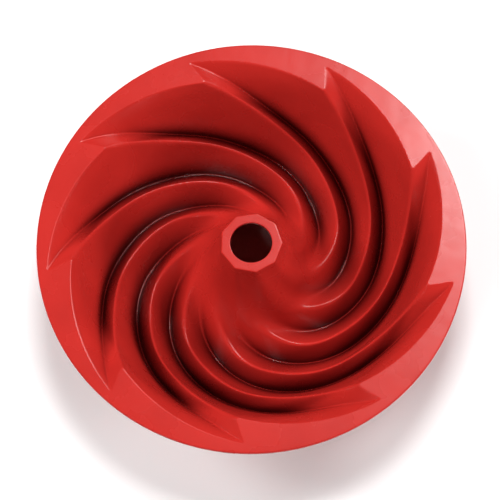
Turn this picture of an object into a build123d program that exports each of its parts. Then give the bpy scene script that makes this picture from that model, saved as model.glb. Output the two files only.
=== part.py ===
from build123d import *
import math
import os

# ---- driving dimensions (mm, degrees) ----
RIM_RADIUS = 125.0
HEIGHT = 68.0            # flange top above the surface the mould stands on
FLANGE = 2.5             # flange and hub plate thickness
WALL = 2.0               # silicone wall under the swirl
HOLE_RADIUS = 12.2       # hole in the middle of the hub plate
FLANGE_EDGE = 0.8        # rounding of the flange's outer edge

FLUTES = 9
PITCH = 360 / FLUTES
CREST_START = 36.5       # bearing of the first crest at the flange
VALLEY_START = 39.5      # bearing of the first valley at the flange

# Each line turns clockwise as it runs inwards: (sweep from the flange, radius, depth)
CREST = [(0, 104, 0), (10, 96, 13), (20, 89, 25), (30, 83.5, 34), (40, 78.5, 41), (60, 67.5, 49),
         (80, 57, 52.5), (100, 43.5, 49), (120, 33, 39.5), (132, 26.5, 27.5), (146, 18.5, FLANGE)]
VALLEY = [(0, 119, 0), (10, 107.5, 10), (20, 99.5, 26), (30, 93.5, 39), (40, 88.5, 47.5), (60, 78.5, 59.5),
          (80, 68.5, 64), (100, 57, 66.5), (120, 45.5, 61.5), (140, 33, 46), (155, 24, 26), (169, 17.2, FLANGE)]
SWEEP = CREST[-1][0]
LAG = VALLEY[-1][0] - SWEEP    # how far a valley has turned past its crest at the same radius
LAG_SWEEP = 8                  # crest sweep over which that lag builds up
LIP_SWEEP = 6                  # sweep over which the wall leaves the flange's underside

CREST_ROUND = 3.5        # length of flank taken by the rounding, seen from the cavity
VALLEY_ROUND = 2.2
BACK_ROUND = {"crest": 0.9, "valley": 3.0}

ROW_STEP = 9.0           # spacing of the lofted rows along the swirl

os.makedirs("parts", exist_ok=True)


def along(table, sweep, column):
    """Smooth curve through one column of a table of stations."""
    i = max(j for j in range(len(table) - 1) if table[j][0] <= sweep)

    def grade(j):
        j = min(max(j, 0), len(table) - 2)
        return (table[j + 1][column] - table[j][column]) / (table[j + 1][0] - table[j][0])

    step = table[i + 1][0] - table[i][0]
    t = (sweep - table[i][0]) / step
    start, end = (grade(i - 1) + grade(i)) / 2 * step, (grade(i) + grade(i + 1)) / 2 * step
    a, b = table[i][column], table[i + 1][column]
    return a + t * start + t * t * (3 * (b - a) - 2 * start - end) + t**3 * (2 * (a - b) + start + end)


def polar(radius, bearing, height):
    turn = math.radians(bearing)
    return Vector(radius * math.cos(turn), radius * math.sin(turn), height)


def on_line(table, sweep, bearing):
    """Polar position of a crest or valley line, dropped onto the flange's underside at its start."""
    lip = FLANGE * math.exp(-sweep / LIP_SWEEP)
    return along(table, sweep, 1), bearing - sweep, HEIGHT - along(table, sweep, 2) - lip


def valley_sweep(sweep):
    return sweep + LAG * (1 - math.exp(-sweep / LAG_SWEEP)) / (1 - math.exp(-SWEEP / LAG_SWEEP))


def crest(sweep, k=0):
    return on_line(CREST, sweep, CREST_START + PITCH * k)


def valley(sweep, k=0):
    return on_line(VALLEY, valley_sweep(sweep), VALLEY_START + PITCH * k)


def between(a, b, u):
    """Point a share u of the way along a flank; flanks are straight in polar terms."""
    return polar(*(p + (q - p) * u for p, q in zip(a, b)))


def offset_step(line, before, after, sweep):
    """Step from a crest or valley point to the same corner of the wall's back face."""
    here = polar(*line(sweep))
    low, high = max(sweep - 0.5, 0), min(sweep + 0.5, SWEEP)
    run = (polar(*line(high)) - polar(*line(low))).normalized()
    sides = []
    for other, flip in ((before, -1), (after, 1)):
        flank = between(line(sweep), other(sweep), 0.05) - here
        sides.append((run.cross(flank) * flip).normalized())
    blend = min(sweep / 12, (SWEEP - sweep) / 8, 1)
    keep = (run * blend + Vector(0, 0, -1 if sweep < SWEEP / 2 else 1) * (1 - blend)).normalized()
    one, two = sides
    return (two.cross(keep) + keep.cross(one)) * (WALL / one.dot(two.cross(keep)))


def to_polar(point):
    return math.hypot(point.X, point.Y), math.degrees(math.atan2(point.Y, point.X)), point.Z


def corner(sweep, kind, back):
    """Polar corner of the section in the first flute, on the cavity side or on the back."""
    line, other = (crest, valley) if kind == "crest" else (valley, crest)
    before, after = (0, 1) if kind == "crest" else (-1, 0)
    if not back:
        return line(sweep)
    step = offset_step(line, lambda s: other(s, before), lambda s: other(s, after), sweep)
    radius, bearing, height = to_polar(polar(*line(sweep)) + step)
    drift = (bearing - line(sweep)[1] + 180) % 360 - 180
    return radius, line(sweep)[1] + drift, height


def turned(place, k):
    return place[0], place[1] + PITCH * k, place[2]


def row(sweep, back=False):
    """Section of the first flute: long flank, valley rounding, short flank, crest rounding."""
    top, foot = corner(sweep, "crest", back), corner(sweep, "valley", back)
    cut_top = BACK_ROUND["crest"] if back else CREST_ROUND
    cut_foot = BACK_ROUND["valley"] if back else VALLEY_ROUND
    a, b, c, d = top, turned(foot, 1), turned(top, 1), turned(foot, 2)
    long_side, short_side = (polar(*a) - polar(*b)).length, (polar(*b) - polar(*c)).length
    shares = [cut_top + (long_side - cut_top - cut_foot) * i / 4 for i in range(5)]
    falling = [between(a, b, share / long_side) for share in shares]
    rising = [between(b, c, cut_foot / short_side), between(b, c, 1 - cut_top / short_side)]
    return [Edge.make_spline(falling), Edge.make_bezier(falling[-1], polar(*b), rising[0]),
            Edge.make_line(*rising),
            Edge.make_bezier(rising[-1], polar(*c), between(c, d, cut_top / long_side))]


def all_round(shapes):
    """The first flute's shapes repeated for every flute."""
    return [shape.rotate(Axis.Z, PITCH * k) for k in range(FLUTES) for shape in shapes]


def level_face(sweep):
    """Flat face filling the outline of a level row."""
    return Face(Wire(all_round(row(sweep))))


def row_sweeps(start, end):
    """Sweeps of evenly spaced rows, counted along whichever line is moving faster."""
    fine, run, marks = [start + (end - start) * i / 400 for i in range(401)], 0.0, [0.0]
    for a, b in zip(fine, fine[1:]):
        run += max((polar(*line(b)) - polar(*line(a))).length for line in (crest, valley))
        marks.append(run)
    count = max(round(run / ROW_STEP), 4)
    picks = [min(range(401), key=lambda j: abs(marks[j] - run * i / count)) for i in range(count + 1)]
    return [fine[j] for j in picks]


def border(sheet, start, end):
    """The edge of a lofted sheet that joins two points."""
    def miss(edge):
        return min((edge @ 0 - a).length + (edge @ 1 - b).length for a, b in ((start, end), (end, start)))
    return min(sheet.edges(), key=miss)


def first_flute():
    """One flute of the wall from flange to hub: cavity face, back face and the strips joining them."""
    sweeps = row_sweeps(0, SWEEP)
    front, rear = [row(s) for s in sweeps], [row(s, back=True) for s in sweeps]
    sheets = [Shell.make_loft([Wire(edges) for edges in side]) for side in (front, rear)]
    faces = [face for sheet in sheets for face in sheet.faces()]
    for i in (0, -1):
        faces += Shell.make_loft([Wire(front[i]), Wire(rear[i])], ruled=True).faces()
    for which, share in ((0, 0), (-1, 1)):
        borders = [border(sheet, side[0][which] @ share, side[-1][which] @ share)
                   for sheet, side in zip(sheets, (front, rear))]
        faces.append(Face.make_surface_from_curves(*borders))
    return Solid(Shell(faces))


with BuildPart() as rim_flange:
    with Locations((0, 0, HEIGHT - FLANGE)):
        Cylinder(RIM_RADIUS, FLANGE, align=(Align.CENTER, Align.CENTER, Align.MIN))
    fillet(rim_flange.edges().filter_by(GeomType.CIRCLE), FLANGE_EDGE)
    extrude(level_face(0), amount=FLANGE, dir=(0, 0, 1), mode=Mode.SUBTRACT)
rim_flange.part.label = "rim_flange"
export_step(rim_flange.part, "parts/rim_flange.step")

with BuildPart() as flute:
    add(first_flute())
    # the lowest fold is flattened a little, to stand on
    Cylinder(RIM_RADIUS, WALL, align=(Align.CENTER, Align.CENTER, Align.MAX), mode=Mode.SUBTRACT)

for k in range(FLUTES):
    with BuildPart() as turned_flute:
        add(flute.part.rotate(Axis.Z, PITCH * k))
    turned_flute.part.label = f"flute_{k + 1}"
    export_step(turned_flute.part, f"parts/flute_{k + 1}.step")

with BuildPart() as hub_ring:
    extrude(level_face(SWEEP), amount=FLANGE, dir=(0, 0, 1))
    with Locations((0, 0, HEIGHT)):
        Hole(HOLE_RADIUS, depth=FLANGE)
hub_ring.part.label = "hub_ring"
export_step(hub_ring.part, "parts/hub_ring.step")
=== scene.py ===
import math

import bmesh
import bpy
import numpy as np
from mathutils import Matrix, Vector


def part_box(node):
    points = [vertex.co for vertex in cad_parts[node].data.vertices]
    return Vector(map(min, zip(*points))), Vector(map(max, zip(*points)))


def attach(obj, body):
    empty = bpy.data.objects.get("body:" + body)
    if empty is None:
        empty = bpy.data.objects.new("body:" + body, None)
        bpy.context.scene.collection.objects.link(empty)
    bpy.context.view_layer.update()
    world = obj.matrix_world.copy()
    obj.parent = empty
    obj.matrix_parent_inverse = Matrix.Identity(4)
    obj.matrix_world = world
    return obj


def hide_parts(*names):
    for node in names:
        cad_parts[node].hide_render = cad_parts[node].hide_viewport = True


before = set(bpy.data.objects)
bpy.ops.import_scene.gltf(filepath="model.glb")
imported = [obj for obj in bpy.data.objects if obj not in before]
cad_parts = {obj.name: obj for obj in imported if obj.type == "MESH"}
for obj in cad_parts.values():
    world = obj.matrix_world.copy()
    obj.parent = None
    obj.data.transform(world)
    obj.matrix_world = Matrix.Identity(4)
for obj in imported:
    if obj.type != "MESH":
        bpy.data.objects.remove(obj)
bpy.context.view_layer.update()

# ---------------------------------------------------------------- sizes (metres, degrees)
MM = 0.001
low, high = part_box("rim_flange")
RIM = (high[0] - low[0]) / 2            # flange radius
TOP = high[2]                           # level of the flange and of the ring on the cone
PLATE = high[2] - low[2]                # thickness of the flange and of that ring
WALL = 2.0 * MM
HOLE = 12.2 * MM                        # radius of the hole in the ring
EDGE = 0.8 * MM                         # rounding round the flange's outer edge
LIP, LIP_SWEEP = 0.6 * MM, 0.6          # rounding where the flange turns down: width, and sweep down the wall
HUB_EDGE = 0.7 * MM                     # rounding round the ring on the cone
HOLE_EDGE = 0.35 * MM                   # rounding at both ends of the hole
FLUTES = 9
PITCH = 360 / FLUTES
CREST_START, VALLEY_START = 36.5, 39.5  # bearings of the first crest and valley at the flange
SWEEP, VALLEY_SWEEP = 146.0, 169.0      # how far a crest and a valley turn clockwise on their way in
LAG_SWEEP = 8                           # crest sweep over which most of that difference builds up
HUB_REACH, HUB_BLEND = 32 * MM, 12 * MM  # radius inside which flanks turn straight in plan, and over how much

# a flat starts this far from the rounding beside it
CLEAR = {"outer": 0.5 * MM, "lip": 0.1 * MM, "hub": 0.3 * MM, "hole": 0.2 * MM, "under": 0.3 * MM}

# stations of the two lines of a flute: sweep, radius, depth (mm)
CREST = [(0, 104, 0), (10, 96, 13), (20, 89, 25), (30, 83.5, 34), (40, 78.5, 41), (60, 67.5, 49),
         (80, 57, 52.5), (100, 43.5, 49), (120, 33, 39.5), (132, 26.5, 27.5), (146, 18.5, 1)]
VALLEY = [(0, 119, 0), (10, 107.5, 10), (20, 99.5, 26), (30, 93.5, 39), (40, 88.5, 47.5), (60, 78.5, 59.5),
          (80, 68.5, 64), (100, 57, 66.5), (120, 45.5, 61.5), (140, 33, 46), (155, 24, 26), (169, 17.38, 1)]
# length of flank that the rounding takes: sweep, crest, valley (mm)
ROUND = [(0, 3.2, 1.2), (30, 3.8, 2.2), (100, 4.0, 2.8), (125, 6.0, 5.5), (138, 4.5, 5.0), (146, 0.8, 2.5)]
MOST_ROUND = 0.42                       # share of the short flank that one rounding may take
BACK_LESS, BACK_LEAST = 2.6 * MM, 0.8 * MM   # on the back a crest's rounding is smaller, down to this
BACK_MORE = 1.8 * MM                    # and a valley's is larger

# bearings on the rim opposite a crest and a valley, on the flange's top and on its underside
TOP_FAN, UNDER_FAN = (43.5, 80.5), (44.5, 83.3)

# columns of points on each stretch of a flute's section, and in a whole flute
HALF, LONG, FOOT, SHORT = 4, 16, 8, 8
COLUMNS = 2 * HALF + LONG + FOOT + SHORT
MID_CREST, MID_FOOT = HALF, 2 * HALF + LONG + FOOT / 2

# rings of points on each stretch of the way round the wall
FRONT_ROWS, BACK_ROWS = 190, 110
FLAT_RINGS, LIP_RINGS, HUB_RINGS, UNDER_RINGS = 9, 9, 4, 7
ARC = np.radians(np.linspace(0, 90, 7))  # angles of the rings on a rounded edge


# ---------------------------------------------------------------- lines of a flute
def spline(table, column, x):
    """Natural cubic spline through one column of a table."""
    xs = np.array([row[0] for row in table], float)
    ys = np.array([row[column] for row in table], float)
    n, h = len(xs), np.diff(xs)
    a = np.eye(n)
    b = np.zeros(n)
    for i in range(1, n - 1):
        a[i, i - 1:i + 2] = h[i - 1], 2 * (h[i - 1] + h[i]), h[i]
        b[i] = 6 * ((ys[i + 1] - ys[i]) / h[i] - (ys[i] - ys[i - 1]) / h[i - 1])
    m = np.linalg.solve(a, b)
    i = np.clip(np.searchsorted(xs, x, side="right") - 1, 0, n - 2)
    d, left = np.asarray(x) - xs[i], xs[i + 1] - np.asarray(x)
    return (m[i] * left**3 + m[i + 1] * d**3) / (6 * h[i]) + (ys[i] / h[i] - m[i] * h[i] / 6) * left \
        + (ys[i + 1] / h[i] - m[i + 1] * h[i] / 6) * d


def polar(r, deg, z):
    t = np.radians(deg)
    return np.stack([r * np.cos(t), r * np.sin(t), z + 0 * r], axis=-1)


def xyz(place):
    """Points from rows of radius, bearing and height."""
    return polar(place[..., 0], place[..., 1], place[..., 2])


def line(kind, sweep):
    """Radius, bearing and height of a crest or valley at a crest sweep."""
    if kind == "crest":
        table, own, start = CREST, sweep, CREST_START
    else:
        lag = (VALLEY_SWEEP - SWEEP) * (1 - np.exp(-sweep / LAG_SWEEP)) / (1 - math.exp(-SWEEP / LAG_SWEEP))
        table, own, start = VALLEY, np.minimum(sweep + lag, VALLEY_SWEEP), VALLEY_START
    return np.stack([spline(table, 1, own) * MM, start - own, TOP - spline(table, 2, own) * MM], axis=-1)


def turned(place, k):
    """The same line k flutes further round."""
    return place + np.array([0, PITCH * k, 0.0])


def flank(a, b, share):
    """Point a share of the way along a flank: straight in polar terms, straight in plan near the hub."""
    near = np.clip((HUB_REACH - a[..., 0]) / HUB_BLEND, 0, 1)[..., None]
    share = share[..., None]
    return xyz(a + (b - a) * share) * (1 - near) + (xyz(a) + (xyz(b) - xyz(a)) * share) * near


def unit(vectors):
    return vectors / np.linalg.norm(vectors, axis=-1, keepdims=True)


def pushed(kind, sweep):
    """The same corner on the back of the wall, WALL away from both flanks."""
    step, slope_at = 0.5, 0.05          # sweep and share of a flank over which directions are taken
    rim_end, hub_end = 12, 8            # sweep from each end over which the shift turns level
    other = "valley" if kind == "crest" else "crest"
    near, far = (0, 1) if kind == "crest" else (-1, 0)
    here = line(kind, sweep)
    ahead, behind = line(kind, np.minimum(sweep + step, SWEEP)), line(kind, np.maximum(sweep - step, 0))
    run = unit(xyz(ahead) - xyz(behind))
    sides = []
    for k, flip in ((near, -1), (far, 1)):
        side = flank(here, turned(line(other, sweep), k), np.full(sweep.shape, slope_at)) - xyz(here)
        sides.append(unit(np.cross(run, side) * flip))
    one, two = sides
    blend = np.clip(np.minimum(sweep / rim_end, (SWEEP - sweep) / hub_end), 0, 1)[:, None]
    up = np.where(sweep < SWEEP / 2, -1.0, 1.0)[:, None] * np.array([0, 0, 1.0])
    keep = unit(run * blend + up * (1 - blend))
    cross = np.cross(two, keep)
    shift = (cross + np.cross(keep, one)) * (WALL / np.sum(one * cross, axis=-1, keepdims=True))
    p = xyz(here) + shift
    deg = np.degrees(np.arctan2(p[:, 1], p[:, 0]))
    drift = (deg - here[:, 1] + 180) % 360 - 180
    return np.stack([np.hypot(p[:, 0], p[:, 1]), here[:, 1] + drift, p[:, 2]], axis=-1)


# ---------------------------------------------------------------- rows and rings of points
def bend(a, b, c, t):
    """Point on the curve that leaves a towards b and reaches c."""
    return a * (1 - t)**2 + b * 2 * t * (1 - t) + c * t * t


def rotate(points, deg):
    c, s = math.cos(math.radians(deg)), math.sin(math.radians(deg))
    return points @ np.array([[c, s, 0], [-s, c, 0], [0, 0, 1]])


def rows(sweep, back=False):
    """Rows of points right round the mould, one row per sweep, starting on a crest."""
    top = pushed("crest", sweep) if back else line("crest", sweep)
    foot = pushed("valley", sweep) if back else line("valley", sweep)
    a, b, c = top, turned(foot, 1), turned(top, 1)
    long_side = np.linalg.norm(xyz(a) - xyz(b), axis=-1)
    short_side = np.linalg.norm(xyz(b) - xyz(c), axis=-1)
    cut_top, cut_foot = spline(ROUND, 1, sweep) * MM, spline(ROUND, 2, sweep) * MM
    if back:
        cut_top, cut_foot = np.maximum(cut_top - BACK_LESS, BACK_LEAST), cut_foot + BACK_MORE
    cut_top = np.minimum(cut_top, MOST_ROUND * short_side)
    cut_foot = np.minimum(cut_foot, MOST_ROUND * short_side)

    # shares of the two flanks between which they stay straight
    long_from, long_to = cut_top / long_side, 1 - cut_foot / long_side
    short_from, short_to = cut_foot / short_side, 1 - cut_top / short_side

    def crossed(count):
        """Even steps across a stretch, one column each."""
        return np.arange(count)[None, :] / count

    def rounded(start, corner, end, count):
        return bend(start[:, None], xyz(corner)[:, None], end[:, None], crossed(count)[..., None])

    def straight(start, end, share_from, share_to, count):
        share = share_from[:, None] + (share_to - share_from)[:, None] * crossed(count)
        return flank(start[:, None], end[:, None], share)

    flute = np.concatenate([
        rounded(flank(foot, a, short_to), a, flank(a, b, long_from), 2 * HALF),
        straight(a, b, long_from, long_to, LONG),
        rounded(flank(a, b, long_to), b, flank(b, c, short_from), FOOT),
        straight(b, c, short_from, short_to, SHORT)], axis=1)
    return np.concatenate([rotate(flute, PITCH * k) for k in range(FLUTES)], axis=1)


def sweeps(count, start=0.0):
    """Evenly spaced along the swirl, closer together at the rim."""
    crowding = 1.15
    fine = np.linspace(start, SWEEP, 3000)
    steps = [np.linalg.norm(np.diff(xyz(line(kind, fine)), axis=0), axis=1) for kind in ("crest", "valley")]
    run = np.concatenate([[0], np.cumsum(np.max(steps, axis=0))])
    return np.interp(np.linspace(0, 1, count) ** crowding * run[-1], run, fine)


def spread(anchors):
    """Bearings for every column, from bearings given at a few columns of one flute."""
    one = np.interp(np.arange(COLUMNS), [at for at, _ in anchors], [deg for _, deg in anchors])
    return np.concatenate([one + PITCH * k for k in range(FLUTES)])


def fanned(crest_deg, foot_deg):
    """Bearings on the rim, fanned out so that no two columns cross on the flange."""
    return spread([(MID_FOOT - COLUMNS, foot_deg - PITCH), (MID_CREST, crest_deg),
                   (MID_FOOT, foot_deg), (MID_CREST + COLUMNS, crest_deg + PITCH)])


def circle(r, z, deg):
    return polar(np.full(deg.shape, r), deg, np.full(deg.shape, z))


def grown(ring, distance):
    """A ring moved outwards in plan by a distance."""
    ahead, behind = np.roll(ring, -1, axis=0), np.roll(ring, 1, axis=0)
    d = unit((ahead - behind)[:, :2])
    out = ring.copy()
    out[:, 0] += d[:, 1] * distance
    out[:, 1] -= d[:, 0] * distance
    return out


def level(ring, z):
    out = ring.copy()
    out[:, 2] = z
    return out


def between(ring, other, count):
    """Evenly spaced rings from one ring to another, both included."""
    return [ring + (other - ring) * t for t in np.linspace(0, 1, count)]


# ---------------------------------------------------------------- the moulding
def flange_edge(rim_deg, under_deg):
    """The flange's rounded edge, from its underside up to its top."""
    rings = []
    for a in ARC:
        deg = under_deg + (rim_deg - under_deg) * a / math.pi
        rings.append(circle(RIM - EDGE + EDGE * math.sin(a), TOP - PLATE + EDGE * (1 - math.cos(a)), deg))
    for a in ARC[::-1]:
        deg = rim_deg + (under_deg - rim_deg) * a / math.pi
        rings.append(circle(RIM - EDGE + EDGE * math.sin(a), TOP - EDGE * (1 - math.cos(a)), deg))
    return rings


def flange_top(outline, first_row, rim_deg):
    """The flange's flat top and the rounded lip that turns down into the cavity's first row."""
    outer = circle(RIM - EDGE - CLEAR["outer"], TOP, rim_deg)
    inner = level(grown(outline, LIP + CLEAR["lip"]), TOP)
    start = grown(outline, LIP)
    lip = [bend(start, outline, first_row, t) for t in np.linspace(0, 1, LIP_RINGS)]
    return between(outer, inner, FLAT_RINGS) + lip


def hub_ring(last_row):
    """The ring on the cone: rounded edge, flat top and the hole through it."""
    mean = last_row[:, 2].mean()
    hub_top = mean + HUB_EDGE
    end = CREST_START - SWEEP
    deg = spread([(MID_CREST - COLUMNS, end - PITCH), (MID_CREST, end),
                  (MID_FOOT, end + PITCH / 2), (MID_CREST + COLUMNS, end + PITCH)])
    rings = [level(grown(last_row, -HUB_EDGE * (1 - math.cos(a))), mean + HUB_EDGE * math.sin(a))
             for a in ARC[1:]]
    inset = level(grown(last_row, -HUB_EDGE - CLEAR["hub"]), hub_top)
    rings += between(inset, circle(HOLE + HOLE_EDGE + CLEAR["hole"], hub_top, deg), HUB_RINGS)
    for a in ARC:
        height = hub_top - HOLE_EDGE * (1 - math.cos(a))
        rings.append(circle(HOLE + HOLE_EDGE * (1 - math.sin(a)), height, deg))
    for a in ARC[::-1]:
        height = TOP - PLATE + HOLE_EDGE * (1 - math.cos(a))
        rings.append(circle(HOLE + HOLE_EDGE * (1 - math.sin(a)), height, deg))
    return rings


def mould():
    """Every ring in order: over the flange, down the cavity, over the hub and back under the wall."""
    outline = rows(np.array([0.0]))[0]
    front = rows(sweeps(FRONT_ROWS, LIP_SWEEP))
    back = rows(sweeps(BACK_ROWS), back=True)[::-1]
    back[..., 2] = np.minimum(back[..., 2], TOP - PLATE)
    rim_deg, under_deg = fanned(*TOP_FAN), fanned(*UNDER_FAN)
    under = circle(RIM - EDGE - CLEAR["under"], TOP - PLATE, under_deg)
    rings = flange_edge(rim_deg, under_deg)
    rings += flange_top(outline, front[0], rim_deg)
    rings += list(front[1:])
    rings += hub_ring(front[-1])
    rings += list(back)
    rings += between(back[-1], under, UNDER_RINGS)[1:]
    grid = np.array(rings)
    grid[..., 2] = np.maximum(grid[..., 2], 0.0)    # nothing reaches below the standing plane
    return grid


def grid_mesh(name, grid):
    """A closed mesh from rings of points, joined round each ring and from the last ring to the first."""
    n, m = grid.shape[:2]
    i, j = np.meshgrid(np.arange(n), np.arange(m), indexing="ij")
    next_i, next_j = (i + 1) % n, (j + 1) % m
    quads = np.stack([i * m + j, next_i * m + j, next_i * m + next_j, i * m + next_j], axis=-1)
    mesh = bpy.data.meshes.new(name)
    mesh.from_pydata(grid.reshape(-1, 3).tolist(), [], quads.reshape(-1, 4).tolist())
    bm = bmesh.new()
    bm.from_mesh(mesh)
    bmesh.ops.recalc_face_normals(bm, faces=bm.faces)
    bm.to_mesh(mesh)
    bm.free()
    for poly in mesh.polygons:
        poly.use_smooth = True
    obj = bpy.data.objects.new(name, mesh)
    bpy.context.collection.objects.link(obj)
    return obj


# ---------------------------------------------------------------- material
DARK_RED, LIGHT_RED = (0.42, 0.018, 0.014, 1), (0.49, 0.022, 0.017, 1)
WHITE = (1, 1, 1, 1)
# painted shade: the red is multiplied darker where ambient occlusion finds it closed in, broadly in the
# grooves and in a thin line along each fold, standing in for the shade that falls there:
# reach (m), openness at which the shade is full, openness at which it is gone, shade
FOLD_PAINTED_SHADE = [(0.02, 0.30, 0.82, (0.16, 0.10, 0.14, 1)),
         (0.006, 0.40, 0.72, (0.45, 0.40, 0.42, 1))]


def silicone():
    mat = bpy.data.materials.new("red_silicone")
    mat.use_nodes = True
    nodes, links = mat.node_tree.nodes, mat.node_tree.links
    bsdf = nodes["Principled BSDF"]
    coord = nodes.new("ShaderNodeTexCoord")

    def noise(scale, detail):
        node = nodes.new("ShaderNodeTexNoise")
        node.inputs["Scale"].default_value = scale
        node.inputs["Detail"].default_value = detail
        node.inputs["Roughness"].default_value = 0.5
        links.new(coord.outputs["Object"], node.inputs["Vector"])
        return node.outputs["Fac"]

    def ramp(value, start, start_color, end, end_color):
        node = nodes.new("ShaderNodeValToRGB")
        first, last = node.color_ramp.elements
        first.position, first.color = start, start_color
        last.position, last.color = end, end_color
        links.new(value, node.inputs["Fac"])
        return node.outputs["Color"]

    def bump(height, strength, distance):
        node = nodes.new("ShaderNodeBump")
        node.inputs["Strength"].default_value = strength
        node.inputs["Distance"].default_value = distance
        links.new(height, node.inputs["Height"])
        return node

    clouds, grain, ripple = noise(28, 4), noise(900, 3), noise(60, 2)
    color = ramp(clouds, 0.3, DARK_RED, 0.7, LIGHT_RED)
    # painted shade: each pass darkens the red by how closed in the surface is, the shade a groove would get
    # from the lamps
    for reach, full, gone, shade in FOLD_PAINTED_SHADE:
        fold_occlusion = nodes.new("ShaderNodeAmbientOcclusion")
        fold_occlusion.only_local = True
        fold_occlusion.samples = 12
        fold_occlusion.inputs["Distance"].default_value = reach
        painted_shade = nodes.new("ShaderNodeMix")
        painted_shade.data_type, painted_shade.blend_type = "RGBA", "MULTIPLY"
        painted_shade.inputs["Factor"].default_value = 1
        links.new(color, painted_shade.inputs["A"])
        links.new(ramp(fold_occlusion.outputs["AO"], full, shade, gone, WHITE), painted_shade.inputs["B"])
        color = painted_shade.outputs["Result"]
    links.new(color, bsdf.inputs["Base Color"])
    satin = nodes.new("ShaderNodeMapRange")
    satin.inputs["To Min"].default_value = 0.24
    satin.inputs["To Max"].default_value = 0.31
    links.new(clouds, satin.inputs["Value"])
    links.new(satin.outputs["Result"], bsdf.inputs["Roughness"])
    fine = bump(grain, 0.06, 0.0003)
    soft = bump(ripple, 0.08, 0.002)
    links.new(fine.outputs["Normal"], soft.inputs["Normal"])
    links.new(soft.outputs["Normal"], bsdf.inputs["Normal"])
    bsdf.inputs["IOR"].default_value = 1.45
    return mat


body = grid_mesh("mould", mould())
material = silicone()
body.data.materials.append(material)
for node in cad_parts.values():
    for slot in node.material_slots:
        slot.material = material
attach(body, "root")
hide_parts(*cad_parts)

# ---------------------------------------------------------------- floor
REACH = 0.8                             # half the floor's side
corners = [(-REACH, -REACH, 0), (REACH, -REACH, 0), (REACH, REACH, 0), (-REACH, REACH, 0)]
floor_mesh = bpy.data.meshes.new("floor")
floor_mesh.from_pydata(corners, [], [(0, 1, 2, 3)])
floor = bpy.data.objects.new("floor", floor_mesh)
bpy.context.collection.objects.link(floor)
paper = bpy.data.materials.new("paper")
paper.use_nodes = True
paper.node_tree.nodes["Principled BSDF"].inputs["Base Color"].default_value = (0.9, 0.9, 0.9, 1)
paper.node_tree.nodes["Principled BSDF"].inputs["Roughness"].default_value = 0.9
floor_mesh.materials.append(paper)

# ---------------------------------------------------------------- camera
AZIMUTH, TILT, ROLL = math.radians(14.2), math.radians(18.2), math.radians(-2.8)
DISTANCE = 9.27 * RIM
ASIDE, BELOW = 0.0051 * RIM, 0.0358 * RIM   # how far the camera stands off the rim's centre, across its view
SENSOR, LENS = 36, 143.64               # mm
back_axis = Vector((math.sin(AZIMUTH) * math.sin(TILT), -math.cos(AZIMUTH) * math.sin(TILT), math.cos(TILT)))
right = Vector((0, 0, 1)).cross(back_axis).normalized()
up = back_axis.cross(right)
x_axis = right * math.cos(ROLL) + up * math.sin(ROLL)
y_axis = up * math.cos(ROLL) - right * math.sin(ROLL)
place = Vector((0, 0, TOP)) + back_axis * DISTANCE - x_axis * ASIDE - y_axis * BELOW
camera = bpy.data.objects.new("camera", bpy.data.cameras.new("camera"))
camera.matrix_world = Matrix.Translation(place) @ Matrix((x_axis, y_axis, back_axis)).transposed().to_4x4()
camera.data.sensor_width = SENSOR
camera.data.lens = LENS
camera.data.clip_end = 20
bpy.context.collection.objects.link(camera)
bpy.context.scene.camera = camera

# ---------------------------------------------------------------- light
LAMP_DISTANCE = 1.6
# name, azimuth, elevation, size, power: the low boxes light the flanks, the high ones the flange
LAMPS = [("east", 0, 18, 0.5, 13), ("west", 180, 35, 0.5, 15), ("south_east", 315, 18, 0.5, 4),
         ("north_east", 50, 38, 0.5, 8), ("south_west", 240, 55, 0.5, 7), ("top", 92, 74, 0.4, 17)]
# shows only in the gloss: a sheen on the flange's far right and glints along the crests
GLOSS = ("gloss", 70, 62, 0.24, 10)


def softbox(name, azimuth, elevation, size, power):
    """A square soft box that faces the middle of the mould's rim."""
    turn, rise = math.radians(azimuth), math.radians(elevation)
    across = LAMP_DISTANCE * math.cos(rise)
    where = Vector((across * math.cos(turn), across * math.sin(turn), TOP + LAMP_DISTANCE * math.sin(rise)))
    lamp = bpy.data.lights.new(name, "AREA")
    lamp.shape, lamp.size, lamp.size_y, lamp.energy = "RECTANGLE", size, size, power
    obj = bpy.data.objects.new(name, lamp)
    obj.location = where
    obj.rotation_euler = (where - Vector((0, 0, TOP))).to_track_quat("Z", "Y").to_euler()
    bpy.context.collection.objects.link(obj)
    return obj


for row in LAMPS:
    softbox(*row).visible_glossy = row[0] == "north_east"
softbox(*GLOSS).visible_diffuse = False

# a white backdrop that the camera sees, and that doesn't light the mould
world = bpy.data.worlds.new("studio")
world.use_nodes = True
world.node_tree.nodes["Background"].inputs["Color"].default_value = WHITE
world.node_tree.nodes["Background"].inputs["Strength"].default_value = 1
bpy.context.scene.world = world
world.cycles_visibility.diffuse = world.cycles_visibility.glossy = False
bpy.context.scene.view_settings.view_transform = "Standard"
